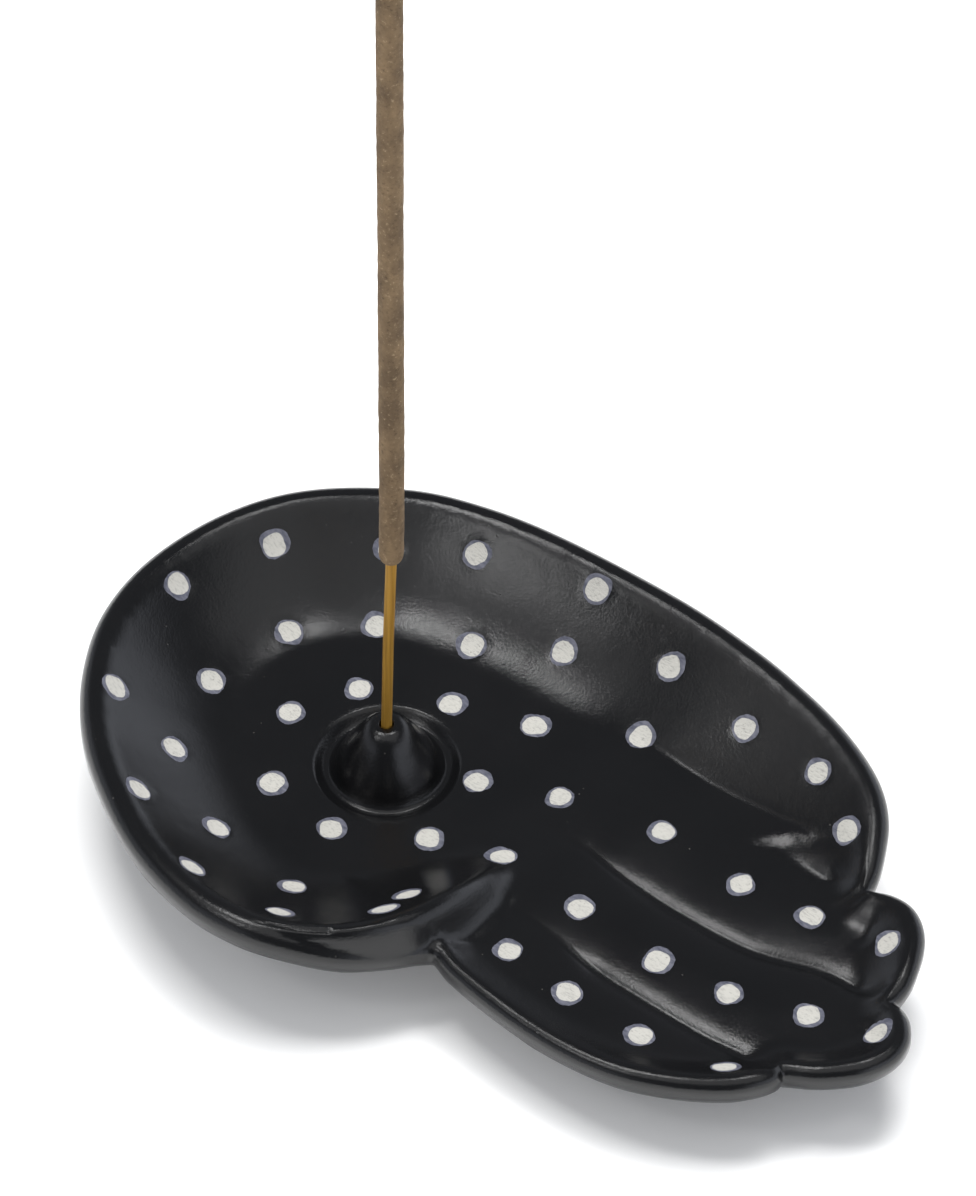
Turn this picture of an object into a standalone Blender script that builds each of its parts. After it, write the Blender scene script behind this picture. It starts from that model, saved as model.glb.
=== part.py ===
"""A hand-shaped incense burner carved from one piece of soapstone, with the stick that it holds.

The dish is an open hand, palm up. The heel and the thumb make a round bowl, with a domed boss in a
round moat near its centre, and a blind hole down the boss holds the bamboo splint of an incense stick.
+X runs from the heel to the fingertips, +Y to the little finger, +Z up. The origin is on the table,
under the hole. The dimensions are in millimetres, and MM turns them into metres.
"""

import math

import bpy
import numpy as np
from mathutils import Vector
from mathutils.geometry import delaunay_2d_cdt

MM = 0.001

# --- Outline, seen from above: x, y, rim height; anticlockwise, with a notch where two lists meet ---
LITTLE_HEEL_AND_THUMB = [
    (63.6, 17.0, 12.1), (63.0, 19.4, 13.1), (61.6, 22.7, 14.1), (59.7, 26.1, 14.9), (56.8, 29.2, 15.5),
    (52.8, 31.8, 15.9), (47.0, 34.3, 16.3), (40.0, 36.3, 16.6), (31.0, 38.0, 16.9), (18.0, 39.2, 17.0),
    (0.0, 38.8, 17.0), (-12.0, 37.0, 17.0), (-22.3, 33.2, 17.0), (-32.7, 25.1, 17.0), (-38.8, 15.0, 17.0),
    (-41.4, 3.0, 17.0), (-40.2, -8.0, 17.0), (-35.6, -17.6, 17.0), (-29.0, -25.5, 17.0), (-20.7, -31.8, 17.0),
    (-11.6, -36.6, 17.0), (-1.6, -39.3, 17.0), (6.2, -39.2, 17.0), (12.6, -37.1, 16.4), (18.2, -33.4, 14.8),
    (22.3, -28.8, 13.3), (24.4, -25.8, 12.5), (25.7, -24.1, 12.0),
]
INDEX = [
    (25.7, -24.1, 12.0), (29.5, -25.3, 11.7), (38.0, -26.5, 11.5), (47.0, -26.9, 11.6), (55.0, -26.0, 11.9),
    (62.0, -23.5, 12.3), (67.6, -20.2, 12.6), (70.6, -17.0, 12.6), (71.7, -14.6, 12.2), (71.5, -13.3, 11.6),
]
MIDDLE = [
    (71.5, -13.3, 11.6), (75.8, -11.3, 12.3), (79.6, -7.9, 12.7), (81.5, -4.0, 12.8), (81.4, -0.6, 12.8),
    (79.8, 2.1, 12.7), (77.8, 3.6, 12.3), (76.2, 4.1, 11.8),
]
RING = [
    (76.2, 4.1, 11.8), (76.3, 7.0, 12.6), (75.4, 10.4, 13.1), (73.8, 13.8, 13.3), (71.6, 16.2, 13.3),
    (69.0, 17.5, 13.1), (66.0, 17.7, 12.6), (63.6, 17.0, 12.1),
]
THUMB_FROM = 12.0  # x where the bowl's rim has become the thumb
RIM_ROUND, TIP_ROUND = 2.2, 1.5  # radius of the rim's top, round the bowl and round the fingers
ROUND_FROM, ROUND_TO = 12.2, 15.5  # rim heights between which the one becomes the other

# --- Inside the rim -------------------------------------------------------------------------------
FLOOR = 7.5  # height of the palm
FINGER_RISE = 1.0  # the grooves between the fingers lie this much higher
WALL_REACH, TIP_REACH = 16.0, 4.2  # how far the wall slopes in, round the bowl and round the fingers
WALL_CURVE = 1.5

# The rim turns in along the thumb as a ridge that sinks into the palm: x, y, height over the palm.
THUMB_RIDGE = [
    (7.0, -37.0, 9.5), (12.0, -35.2, 9.5), (16.6, -32.0, 9.5), (19.7, -28.6, 9.4), (21.8, -25.0, 9.1),
    (23.0, -21.4, 8.5), (23.5, -17.4, 7.4), (23.5, -13.2, 5.7), (23.0, -9.2, 3.7), (22.2, -5.8, 1.7),
    (20.8, -2.4, 0.2),
]
FOOT_AT_RIM, FOOT_AT_END = 3.2, 5.2  # how far its steep face, towards the fingers, spreads

# Grooves between the fingers, from the palm to the notch: x, y.
GROOVES = {
    "index": [(31.0, -11.0), (36.0, -11.5), (44.0, -12.6), (58.0, -12.9), (66.0, -12.3), (71.5, -13.3)],
    "middle": [(29.5, 2.8), (36.0, 1.7), (46.0, 1.2), (56.0, 1.8), (66.0, 4.6), (76.2, 4.1)],
    "ring": [(25.0, 21.7), (32.0, 20.9), (46.0, 20.5), (56.0, 20.8), (60.5, 19.6), (63.6, 17.0)],
}
# A groove fades in at its start, as if it ran this much farther off.
SOFT_START = {"index": 3.0, "middle": 0.8, "ring": 0.8}
FINGER_CROWN, CROWN_SPREAD = 1.5, 3.6  # how far a finger stands over its grooves, and how fast it rises
GROOVE_DEPTH, GROOVE_HALF_WIDTH = 0.12, 1.2

# --- Boss, moat and hole: radius and height -------------------------------------------------------
HOLE_RADIUS, HOLE_BOTTOM = 0.95, 5.0
BOSS_AND_MOAT = [
    (0.95, 15.0), (1.6, 15.0), (2.3, 14.7), (3.0, 14.05), (3.7, 13.1), (4.4, 11.95), (5.1, 10.75), (5.8, 9.45),
    (6.4, 8.2), (6.85, 7.2), (7.3, 6.55), (7.8, 6.3), (8.3, 6.45), (8.8, 6.85), (9.3, 7.3),
]
PATCH_RADIUS = 9.7

# --- Underside ------------------------------------------------------------------------------------
UNDER_ROUND, UNDER_SLOPE = 4.6, 0.68
MIDDLE_LINE = [(0.0, 0.0), (56.0, 4.0)]

# --- Stick ----------------------------------------------------------------------------------------
SPLINT_RADIUS, SPLINT_FOOT = 0.67, 5.3
PASTE_RADIUS, PASTE_BORE, PASTE_START, STICK_TOP = 1.58, 0.86, 46.0, 232.0
# A split bamboo is never quite straight: height, offset towards LEAN_DIRECTION.
STICK_BOW = [
    (0.0, 0.0), (14.0, 0.0), (30.0, 0.38), (46.0, 0.9), (60.0, 1.1), (95.0, 1.3), (143.0, 1.6), (240.0, 2.0),
]
LEAN_DIRECTION = (0.8, 0.6)

# --- Facets ---------------------------------------------------------------------------------------
OUTLINE_STEPS = 112
RIM_ANGLES = (22, 45, 68, 90, 108)  # degrees round the rim's top, from the outside
PALM_SPACING = 2.7
FEATURE_STEP = 4
BOSS_STEPS = 56
UNDER_STEPS = 6
STICK_SIDES = 16


def smoothstep(low, high, value):
    """0 below low, 1 above high, and an S curve between them."""
    t = np.clip((np.asarray(value, float) - low) / (high - low), 0.0, 1.0)
    return t * t * (3 - 2 * t)


def curve_through(points, steps):
    """A smooth curve through the points, cut into equal lengths as seen from above."""
    p = np.array(points, float)
    p = np.vstack([2 * p[0] - p[1], p, 2 * p[-1] - p[-2]])
    fine = []
    for i in range(1, len(p) - 2):
        t = np.linspace(0, 1, 20, endpoint=False)[:, None]
        a, b, c, d = p[i - 1 : i + 3]
        bend = (2 * a - 5 * b + 4 * c - d) * t**2
        turn = (3 * b - a - 3 * c + d) * t**3
        fine.append(0.5 * (2 * b + (c - a) * t + bend + turn))
    fine = np.vstack([*fine, p[-2:-1]])
    length = np.r_[0, np.cumsum(np.hypot(*np.diff(fine[:, :2], axis=0).T))]
    at = np.linspace(0, length[-1], steps + 1)
    return np.column_stack([np.interp(at, length, column) for column in fine.T])


def outline_runs(spacing):
    """The outline as one curve from notch to notch for each list: x, y, rim height."""
    runs = []
    for piece in (LITTLE_HEEL_AND_THUMB, INDEX, MIDDLE, RING):
        length = np.hypot(*np.diff(np.array(piece)[:, :2], axis=0).T).sum()
        runs.append(curve_through(piece, max(2, round(length / spacing))))
    return runs


def outline_curve(spacing):
    return np.vstack([run[:-1] for run in outline_runs(spacing)])


def even_outline():
    """The outline in OUTLINE_STEPS equal steps: x, y, rim height."""
    fine = outline_curve(0.25)
    closed = np.vstack([fine, fine[:1]])
    length = np.r_[0, np.cumsum(np.hypot(*np.diff(closed[:, :2], axis=0).T))]
    at = np.linspace(0, length[-1], OUTLINE_STEPS, endpoint=False)
    return np.column_stack([np.interp(at, length, column) for column in closed.T])


def inward_normals(points, eased):
    """Unit vectors into a closed anticlockwise outline, eased over that many steps at its corners."""
    along = np.roll(points[:, :2], -1, axis=0) - np.roll(points[:, :2], 1, axis=0)
    normal = np.column_stack([-along[:, 1], along[:, 0]])
    normal /= np.linalg.norm(normal, axis=1)[:, None]
    for _ in range(eased):
        normal = normal + 0.5 * (np.roll(normal, 1, axis=0) + np.roll(normal, -1, axis=0))
        normal /= np.linalg.norm(normal, axis=1)[:, None]
    return normal


def rim_radius(height):
    return TIP_ROUND + (RIM_ROUND - TIP_ROUND) * smoothstep(ROUND_FROM, ROUND_TO, height)


def nearest_on(line, x, y):
    """Distance to a polyline, its other columns at the nearest point, and True right of it."""
    best = np.full(x.shape, np.inf)
    values = np.zeros((len(x), line.shape[1] - 2))
    right = np.zeros(x.shape, bool)
    for a, b in zip(line, line[1:]):
        dx, dy = b[:2] - a[:2]
        t = np.clip(((x - a[0]) * dx + (y - a[1]) * dy) / (dx * dx + dy * dy + 1e-12), 0, 1)
        ex, ey = x - a[0] - t * dx, y - a[1] - t * dy
        gap = ex * ex + ey * ey
        closer = gap < best
        best[closer] = gap[closer]
        values[closer] = a[2:] + t[closer, None] * (b[2:] - a[2:])
        right[closer] = (dx * ey - dy * ex)[closer] < 0
    return np.sqrt(best), values, right


def wall(gap, rim, base, reach, radius):
    """Height of a wall that falls from a rounded rim to the base, at a distance inside its crest."""
    slope = np.maximum(WALL_CURVE * (rim - base) / reach, 0.0)
    turn = np.arctan(slope)
    start = radius * np.sin(turn)
    shoulder = rim - radius * (1 - np.cos(turn))
    rounded = rim - radius + np.sqrt(np.maximum(radius**2 - np.minimum(gap, start) ** 2, 0))
    fall = base + np.maximum(shoulder - base, 0) * np.clip(1 - (gap - start) / reach, 0, 1) ** WALL_CURVE
    return np.where(gap < start, rounded, fall)


class Palm:
    """Heights of the carved upper face, inside the rim's crest."""

    def __init__(self):
        self.crests = []
        for run in outline_runs(0.8):
            along = np.gradient(run[:, :2], axis=0)
            normal = np.column_stack([-along[:, 1], along[:, 0]]) / np.linalg.norm(along, axis=1)[:, None]
            radius = rim_radius(run[:, 2])
            reach = TIP_REACH + (WALL_REACH - TIP_REACH) * smoothstep(ROUND_FROM, ROUND_TO, run[:, 2])
            crest = run[:, :2] + normal * radius[:, None]
            self.crests.append(np.column_stack([crest, run[:, 2], reach, radius]))
        x, y = self.crests[0][:, 0], self.crests[0][:, 1]
        self.before_thumb = self.crests[0][: np.argmax((y < 0) & (x > THUMB_FROM))]
        ridge = curve_through(THUMB_RIDGE, 60)
        self.ridge = np.column_stack([ridge, np.linspace(0, 1, len(ridge))])
        self.grooves = []
        for name, points in GROOVES.items():
            soft = SOFT_START[name] * (1 - smoothstep(0, 0.3, np.linspace(0, 1, 61)))
            self.grooves.append(np.column_stack([curve_through(points, 60), soft]))

    def finger_relief(self, x, y):
        near = np.full(x.shape, 99.0)
        cut = np.zeros(x.shape)
        for groove in self.grooves:
            gap, soft, _ = nearest_on(groove, x, y)
            before = np.maximum(groove[0, 0] - x, 0)
            beside = np.where(before > 0, np.abs(y - groove[0, 1]) + 0.35 * before, gap)
            near = np.minimum(near, beside + soft[:, 0])
            cut = np.maximum(cut, np.clip(1 - (gap + soft[:, 0]) / GROOVE_HALF_WIDTH, 0, 1))
        crown = FINGER_CROWN * (1 - np.exp(-near / CROWN_SPREAD)) * smoothstep(16, 34, x)
        return FINGER_RISE * smoothstep(12, 30, x) + crown - GROOVE_DEPTH * cut

    def height(self, x, y):
        x, y = np.asarray(x, float), np.asarray(y, float)
        base = FLOOR + self.finger_relief(x, y)
        past_thumb = x > np.interp(y, self.ridge[:, 1], self.ridge[:, 0])
        walls = []
        for crest in self.crests:
            gap, values, _ = nearest_on(crest, x, y)
            walls.append(wall(gap, values[:, 0], base, values[:, 1], values[:, 2]))
        gap, values, _ = nearest_on(self.before_thumb, x, y)
        walls[0] = np.where(past_thumb, wall(gap, values[:, 0], base, values[:, 1], values[:, 2]), walls[0])
        walls.append(self.thumb(x, y, base))
        return np.maximum(base, np.max(walls, axis=0))

    def thumb(self, x, y, base, steep_only=False):
        """The thumb's ridge: a rounded crest, gentle into the bowl and steep towards the fingers."""
        gap, values, steep_side = nearest_on(self.ridge, x, y)
        rise, share = values.T
        foot = FOOT_AT_RIM + (FOOT_AT_END - FOOT_AT_RIM) * share
        crest = FLOOR + rise
        steep = base + np.maximum(crest - base, 0) * (0.5 + 0.5 * np.cos(np.pi * np.clip(gap / foot, 0, 1)))
        if steep_only:
            return np.where(steep_side & (gap < foot), steep, 0)
        gentle = wall(gap, crest, base, 6 + 1.1 * rise, 0.6 + 0.18 * rise)
        return np.where(steep_side, steep, gentle)


def under_profile(height, radius, share):
    """Distance in from the outline and height, from the rim's widest line down to the table."""
    turn = math.atan2(1, UNDER_SLOPE)
    level = height - radius
    round_in = UNDER_ROUND * (1 - np.cos(turn))
    round_down = UNDER_ROUND * np.sin(turn)
    run = (level - round_down) / UNDER_SLOPE
    knee = 0.4
    a = np.clip(share / knee, 0, 1) * turn
    b = np.clip((share - knee) / (1 - knee), 0, 1)
    inward = np.where(share <= knee, UNDER_ROUND * (1 - np.cos(a)), round_in + run * b)
    z = np.where(share <= knee, level - UNDER_ROUND * np.sin(a), (level - round_down) * (1 - b))
    return inward, z


def points_inside(start, outline, distances):
    """On lines from the start points to the hand's middle line, the points that far from the outline."""
    a, b = np.array(MIDDLE_LINE, float)
    share = np.clip((start - a) @ (b - a) / ((b - a) @ (b - a)), 0, 1)
    aim = a + share[:, None] * (b - a)
    steps = np.linspace(0, 1, 120)
    found = np.zeros((len(distances), len(start), 2))
    for i, (p, q) in enumerate(zip(start, aim)):
        line = p + (q - p) * steps[:, None]
        gap = np.hypot(line[:, 0, None] - outline[:, 0], line[:, 1, None] - outline[:, 1]).min(axis=1)
        gap = np.maximum.accumulate(gap) + steps * 1e-6
        for k, distance in enumerate(distances):
            found[k, i] = p + (q - p) * np.interp(distance[i], gap, steps)
    return found


def inside_loop(points, loop):
    """Which points lie inside a closed polygon."""
    x, y = points[:, 0], points[:, 1]
    crossings = np.zeros(len(points), int)
    for (ax, ay), (bx, by) in zip(loop, np.roll(loop, -1, axis=0)):
        spans = (ay > y) != (by > y)
        if ay != by:
            crossings += spans & (x < ax + (y - ay) * (bx - ax) / (by - ay))
    return crossings % 2 == 1


def feature_rows(palm):
    """Rows of points along the thumb's ridge and the grooves, so that facets meet on them."""
    rows = []
    ridge = palm.ridge[::FEATURE_STEP, :2]
    along = np.gradient(ridge, axis=0)
    side = np.column_stack([along[:, 1], -along[:, 0]]) / np.linalg.norm(along, axis=1)[:, None]
    spread = np.linspace(FOOT_AT_RIM, FOOT_AT_END, len(ridge))[:, None]
    rows += [ridge - side * 1.2, ridge, ridge + side * spread * 0.5, ridge + side * spread]
    for groove in palm.grooves:
        line = groove[::FEATURE_STEP, :2]
        along = np.gradient(line, axis=0)
        side = np.column_stack([along[:, 1], -along[:, 0]]) / np.linalg.norm(along, axis=1)[:, None]
        rows += [line, line + side * GROOVE_HALF_WIDTH, line - side * GROOVE_HALF_WIDTH]
    return rows


def fill_palm(shell, palm, outer, inner):
    """Triangles between the rim's inner ring and the patch that holds the boss and the moat."""
    loop = np.array([shell.vertices[i][:2] for i in outer])
    patch = np.array([shell.vertices[i][:2] for i in inner])
    points = list(loop) + list(patch)
    edges = [(i, (i + 1) % len(loop)) for i in range(len(loop))]
    edges += [(len(loop) + i, len(loop) + (i + 1) % len(patch)) for i in range(len(patch))]

    def clear(p, room):
        return np.hypot(*(np.array(points) - p).T).min() > room

    for row in feature_rows(palm):
        allowed = inside_loop(row, loop) & (np.hypot(*row.T) > PATCH_RADIUS + 0.8)
        last = None
        for p, ok in zip(row, allowed):
            if ok and clear(p, 0.75):
                points.append(p)
                if last is not None:
                    edges.append((last, len(points) - 1))
                last = len(points) - 1
            else:
                last = None
    low, high = loop.min(axis=0), loop.max(axis=0)
    rise = PALM_SPACING * math.sqrt(3) / 2
    for row, y in enumerate(np.arange(low[1], high[1], rise)):
        x = np.arange(low[0] + (row % 2) * PALM_SPACING / 2, high[0], PALM_SPACING)
        candidates = np.column_stack([x, np.full(x.size, y)])
        candidates = candidates[inside_loop(candidates, loop) & (np.hypot(*candidates.T) > PATCH_RADIUS)]
        points += [p for p in candidates if clear(p, PALM_SPACING * 0.62)]

    flat = np.array(points)
    made = delaunay_2d_cdt([Vector(p) for p in flat], edges, [], 0, 1e-7)
    placed, triangles, source = made[0], made[2], made[3]
    fresh = flat[len(outer) + len(inner) :]
    ids = list(outer) + list(inner) + shell.ring(np.column_stack([fresh, palm.height(*fresh.T)]))
    corners = [[source[v][0] for v in triangle] for triangle in triangles]
    middles = np.array([flat[c].mean(axis=0) for c in corners])
    keep = inside_loop(middles, loop) & ~inside_loop(middles, patch)
    for corner, kept in zip(corners, keep):
        if kept:
            shell.faces.append(tuple(ids[c] for c in corner))


class Shell:
    """Vertices and faces of one closed solid, built ring by ring."""

    def __init__(self):
        self.vertices = []
        self.faces = []

    def ring(self, points):
        first = len(self.vertices)
        self.vertices += [tuple(p) for p in points]
        return list(range(first, len(self.vertices)))

    def join(self, outer, inner):
        """Faces between two rings; the inner one may have half as many points."""
        n = len(outer)
        if len(inner) == n:
            for i in range(n):
                j = (i + 1) % n
                self.faces += [(outer[i], outer[j], inner[j]), (outer[i], inner[j], inner[i])]
            return
        for i in range(len(inner)):
            a, b, c = outer[2 * i], outer[2 * i + 1], outer[(2 * i + 2) % n]
            p, q = inner[i], inner[(i + 1) % len(inner)]
            self.faces += [(a, b, p), (b, q, p), (b, c, q)]

    def cap(self, ring):
        self.faces.append(tuple(ring))

    def build(self, name, colour, roughness, metallic=0.0):
        mesh = bpy.data.meshes.new(name)
        mesh.from_pydata([tuple(c * MM for c in v) for v in self.vertices], [], self.faces)
        mesh.validate()
        material = bpy.data.materials.new(name)
        material.use_nodes = True
        shader = material.node_tree.nodes["Principled BSDF"]
        shader.inputs["Base Color"].default_value = (*colour, 1.0)
        shader.inputs["Roughness"].default_value = roughness
        shader.inputs["Metallic"].default_value = metallic
        mesh.materials.append(material)
        made = bpy.data.objects.new(name, mesh)
        bpy.context.scene.collection.objects.link(made)
        return made


def circle(radius, z, count):
    a = np.linspace(0, 2 * np.pi, count, endpoint=False)
    return np.column_stack([radius * np.cos(a), radius * np.sin(a), np.full(count, z)])


def make_dish():
    palm = Palm()
    outline = even_outline()
    xy, rim = outline[:, :2], outline[:, 2]
    radius = rim_radius(rim)
    normal = inward_normals(outline, 2)
    shell = Shell()

    rings = [shell.ring(np.column_stack([xy, rim - radius]))]
    for degrees in RIM_ANGLES:
        a = math.radians(degrees)
        flat = xy + normal * (radius * (1 - math.cos(a)))[:, None]
        z = rim - radius + radius * math.sin(a) if degrees <= 90 else palm.height(*flat.T)
        z = np.maximum(z, palm.thumb(*flat.T, FLOOR + palm.finger_relief(*flat.T), steep_only=True))
        rings.append(shell.ring(np.column_stack([flat, z])))
    for outer, inner in zip(rings, rings[1:]):
        shell.join(outer, inner)
    patch = shell.ring(circle(PATCH_RADIUS, FLOOR, BOSS_STEPS))
    fill_palm(shell, palm, rings[-1], patch)

    turned = [patch] + [shell.ring(circle(r, z, BOSS_STEPS)) for r, z in reversed(BOSS_AND_MOAT)]
    turned += [shell.ring(circle(HOLE_RADIUS, z, BOSS_STEPS // 2)) for z in (14.0, HOLE_BOTTOM)]
    for outer, inner in zip(turned, turned[1:]):
        shell.join(outer, inner)
    shell.cap(turned[-1])

    shares = [(k + 1) / UNDER_STEPS for k in range(UNDER_STEPS)]
    profile = [under_profile(rim, radius, s) for s in shares]
    below = points_inside(xy, outline_curve(0.5), [p[0] for p in profile])
    last = rings[0]
    for flat, (_, z) in zip(below, profile):
        ring = shell.ring(np.column_stack([flat, z]))
        shell.join(ring, last)
        last = ring
    shell.cap(last[::-1])
    return shell.build("hand_dish", (0.012, 0.012, 0.014), 0.32)


def stick_centre(z):
    offset = np.interp(z, *np.array(STICK_BOW).T)
    return offset * LEAN_DIRECTION[0], offset * LEAN_DIRECTION[1]


def stick_ring(shell, radius, z):
    cx, cy = stick_centre(z)
    a = np.linspace(0, 2 * np.pi, STICK_SIDES, endpoint=False)
    return shell.ring(np.column_stack([cx + radius * np.cos(a), cy + radius * np.sin(a), np.full(a.size, z)]))


def make_splint():
    shell = Shell()
    heights = [SPLINT_FOOT, 14.0, 22.0, 30.0, 38.0, 46.0, 60.0, 95.0, 143.0, STICK_TOP + 0.3]
    rings = [stick_ring(shell, SPLINT_RADIUS, z) for z in heights]
    for lower, upper in zip(rings, rings[1:]):
        shell.join(lower, upper)
    shell.cap(rings[0][::-1])
    shell.cap(rings[-1])
    return shell.build("bamboo_splint", (0.46, 0.24, 0.06), 0.5)


def make_paste():
    shell = Shell()
    ends = [(0.90, 0.0), (1.35, 0.5), (PASTE_RADIUS, 1.5)]
    outside = [(r, PASTE_START + z) for r, z in ends]
    outside += [(PASTE_RADIUS, z) for z in (60.0, 95.0, 143.0)]
    outside += [(r, STICK_TOP - z) for r, z in reversed(ends)]
    inside = [(PASTE_BORE, STICK_TOP)] + [(PASTE_BORE, z) for z in (143.0, 95.0, 60.0, PASTE_START)]
    rings = [stick_ring(shell, r, z) for r, z in outside + inside]
    for lower, upper in zip(rings, rings[1:] + rings[:1]):
        shell.join(lower, upper)
    return shell.build("incense_paste", (0.17, 0.13, 0.09), 0.9)


for old in list(bpy.data.objects):
    bpy.data.objects.remove(old, do_unlink=True)

make_dish()
make_splint()
make_paste()
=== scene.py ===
"""Looks of the hand-shaped incense burner: the fine carved surface, the stick, materials and studio.

The carving is worked out again here at a fine pitch from the same dimensions as the CAD dish, in
millimetres: +X to the fingertips, +Y to the little finger, +Z up, origin under the hole.
"""

import math

import bpy
import numpy as np
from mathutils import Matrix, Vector
from mathutils.geometry import delaunay_2d_cdt


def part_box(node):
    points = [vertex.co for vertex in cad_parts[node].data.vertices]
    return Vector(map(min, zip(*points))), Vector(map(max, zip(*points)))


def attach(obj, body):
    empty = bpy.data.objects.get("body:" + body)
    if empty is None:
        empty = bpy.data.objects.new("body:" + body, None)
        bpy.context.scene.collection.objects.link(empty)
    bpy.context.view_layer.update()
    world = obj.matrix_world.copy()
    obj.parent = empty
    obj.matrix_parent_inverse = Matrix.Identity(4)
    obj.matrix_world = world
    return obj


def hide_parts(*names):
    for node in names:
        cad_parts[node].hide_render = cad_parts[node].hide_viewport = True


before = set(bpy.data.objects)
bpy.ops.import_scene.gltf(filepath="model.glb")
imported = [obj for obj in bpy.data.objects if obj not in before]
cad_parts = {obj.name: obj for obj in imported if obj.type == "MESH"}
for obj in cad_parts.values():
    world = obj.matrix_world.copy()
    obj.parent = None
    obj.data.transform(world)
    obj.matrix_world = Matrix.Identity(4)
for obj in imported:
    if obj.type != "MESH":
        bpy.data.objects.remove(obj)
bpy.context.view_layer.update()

MM = 0.001

# --- Outline, seen from above: x, y, rim height; anticlockwise, with a notch where two lists meet ---
LITTLE_HEEL_AND_THUMB = [
    (63.6, 17.0, 12.1), (63.0, 19.4, 13.1), (61.6, 22.7, 14.1), (59.7, 26.1, 14.9),
    (56.8, 29.2, 15.5), (52.8, 31.8, 15.9), (47.0, 34.3, 16.3), (40.0, 36.3, 16.6),
    (31.0, 38.0, 16.9), (18.0, 39.2, 17.0), (0.0, 38.8, 17.0), (-12.0, 37.0, 17.0),
    (-22.3, 33.2, 17.0), (-32.7, 25.1, 17.0), (-38.8, 15.0, 17.0), (-41.4, 3.0, 17.0),
    (-40.2, -8.0, 17.0), (-35.6, -17.6, 17.0), (-29.0, -25.5, 17.0), (-20.7, -31.8, 17.0),
    (-11.6, -36.6, 17.0), (-1.6, -39.3, 17.0), (6.2, -39.2, 17.0), (12.6, -37.1, 16.4),
    (18.2, -33.4, 14.8), (22.3, -28.8, 13.3), (24.4, -25.8, 12.5), (25.7, -24.1, 12.0),
]
INDEX = [
    (25.7, -24.1, 12.0), (29.5, -25.3, 11.7), (38.0, -26.5, 11.5), (47.0, -26.9, 11.6),
    (55.0, -26.0, 11.9), (62.0, -23.5, 12.3), (67.6, -20.2, 12.6), (70.6, -17.0, 12.6),
    (71.7, -14.6, 12.2), (71.5, -13.3, 11.6),
]
MIDDLE = [
    (71.5, -13.3, 11.6), (75.8, -11.3, 12.3), (79.6, -7.9, 12.7), (81.5, -4.0, 12.8),
    (81.4, -0.6, 12.8), (79.8, 2.1, 12.7), (77.8, 3.6, 12.3), (76.2, 4.1, 11.8),
]
RING = [
    (76.2, 4.1, 11.8), (76.3, 7.0, 12.6), (75.4, 10.4, 13.1), (73.8, 13.8, 13.3),
    (71.6, 16.2, 13.3), (69.0, 17.5, 13.1), (66.0, 17.7, 12.6), (63.6, 17.0, 12.1),
]
THUMB_FROM = 12.0  # x where the bowl's rim has become the thumb
RIM_ROUND, TIP_ROUND = 2.2, 1.5  # radius of the rim's top, round the bowl and round the fingers
ROUND_FROM, ROUND_TO = 12.2, 15.5  # rim heights between which the one becomes the other

# --- Inside the rim -------------------------------------------------------------------------------
FLOOR = 7.5
FINGER_RISE = 1.0  # how far the palm climbs towards the fingers
WALL_REACH, TIP_REACH = 16.0, 4.2  # how far a wall runs in, round the bowl and round the fingers
WALL_CURVE = 1.5  # 1 would be a straight wall; more is hollower

# The rim turns in along the thumb as a ridge that sinks into the palm: x, y, height over the palm.
THUMB_RIDGE = [
    (7.0, -37.0, 9.5), (12.0, -35.2, 9.5), (16.6, -32.0, 9.5), (19.7, -28.6, 9.4),
    (21.8, -25.0, 9.1), (23.0, -21.4, 8.5), (23.5, -17.4, 7.4), (23.5, -13.2, 5.7),
    (23.0, -9.2, 3.7), (22.2, -5.8, 1.7), (20.8, -2.4, 0.2),
]
FOOT_AT_RIM, FOOT_AT_END = 3.2, 5.2  # width of the ridge's steep side

# Grooves between the fingers, from the palm to the notch: x, y.
GROOVES = {
    "index": [(31.0, -11.0), (36.0, -11.5), (44.0, -12.6), (58.0, -12.9), (66.0, -12.3), (71.5, -13.3)],
    "middle": [(29.5, 2.8), (36.0, 1.7), (46.0, 1.2), (56.0, 1.8), (66.0, 4.6), (76.2, 4.1)],
    "ring": [(25.0, 21.7), (32.0, 20.9), (46.0, 20.5), (56.0, 20.8), (60.5, 19.6), (63.6, 17.0)],
}
# A groove fades in at its start, as if it ran this much farther off.
SOFT_START = {"index": 3.0, "middle": 0.8, "ring": 0.8}
FADE_SHARE = 0.3  # of the groove's length
# How far a finger stands over its grooves, and how fast it rises from them.
FINGER_CROWN, CROWN_SPREAD = 1.5, 3.6
GROOVE_DEPTH, GROOVE_HALF_WIDTH = 0.12, 1.2
CROWN_FROM, CROWN_TO = 16, 34  # x between which the crown grows
RISE_FROM, RISE_TO = 12, 30  # x between which the palm climbs

# --- Boss, moat and hole: radius and height -------------------------------------------------------
HOLE_RADIUS, HOLE_BOTTOM = 0.95, 5.0
BOSS_AND_MOAT = [
    (0.95, 15.0), (1.6, 15.0), (2.3, 14.7), (3.0, 14.05), (3.7, 13.1), (4.4, 11.95), (5.1, 10.75),
    (5.8, 9.45), (6.4, 8.2), (6.85, 7.2), (7.3, 6.55), (7.8, 6.3), (8.3, 6.45), (8.8, 6.85),
    (9.3, 7.3), (9.7, 7.5),
]
PATCH_RADIUS = 9.7  # the boss and its moat are turned inside this circle, the palm is filled outside

# --- Underside ------------------------------------------------------------------------------------
UNDER_ROUND, UNDER_SLOPE = 4.6, 0.68  # radius under the rim, then rise over run down to the table
UNDER_KNEE = 0.4  # share of the rings that go to the rounded part
MIDDLE_LINE = [(0.0, 0.0), (56.0, 4.0)]  # x, y; the underside draws in towards it

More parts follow.
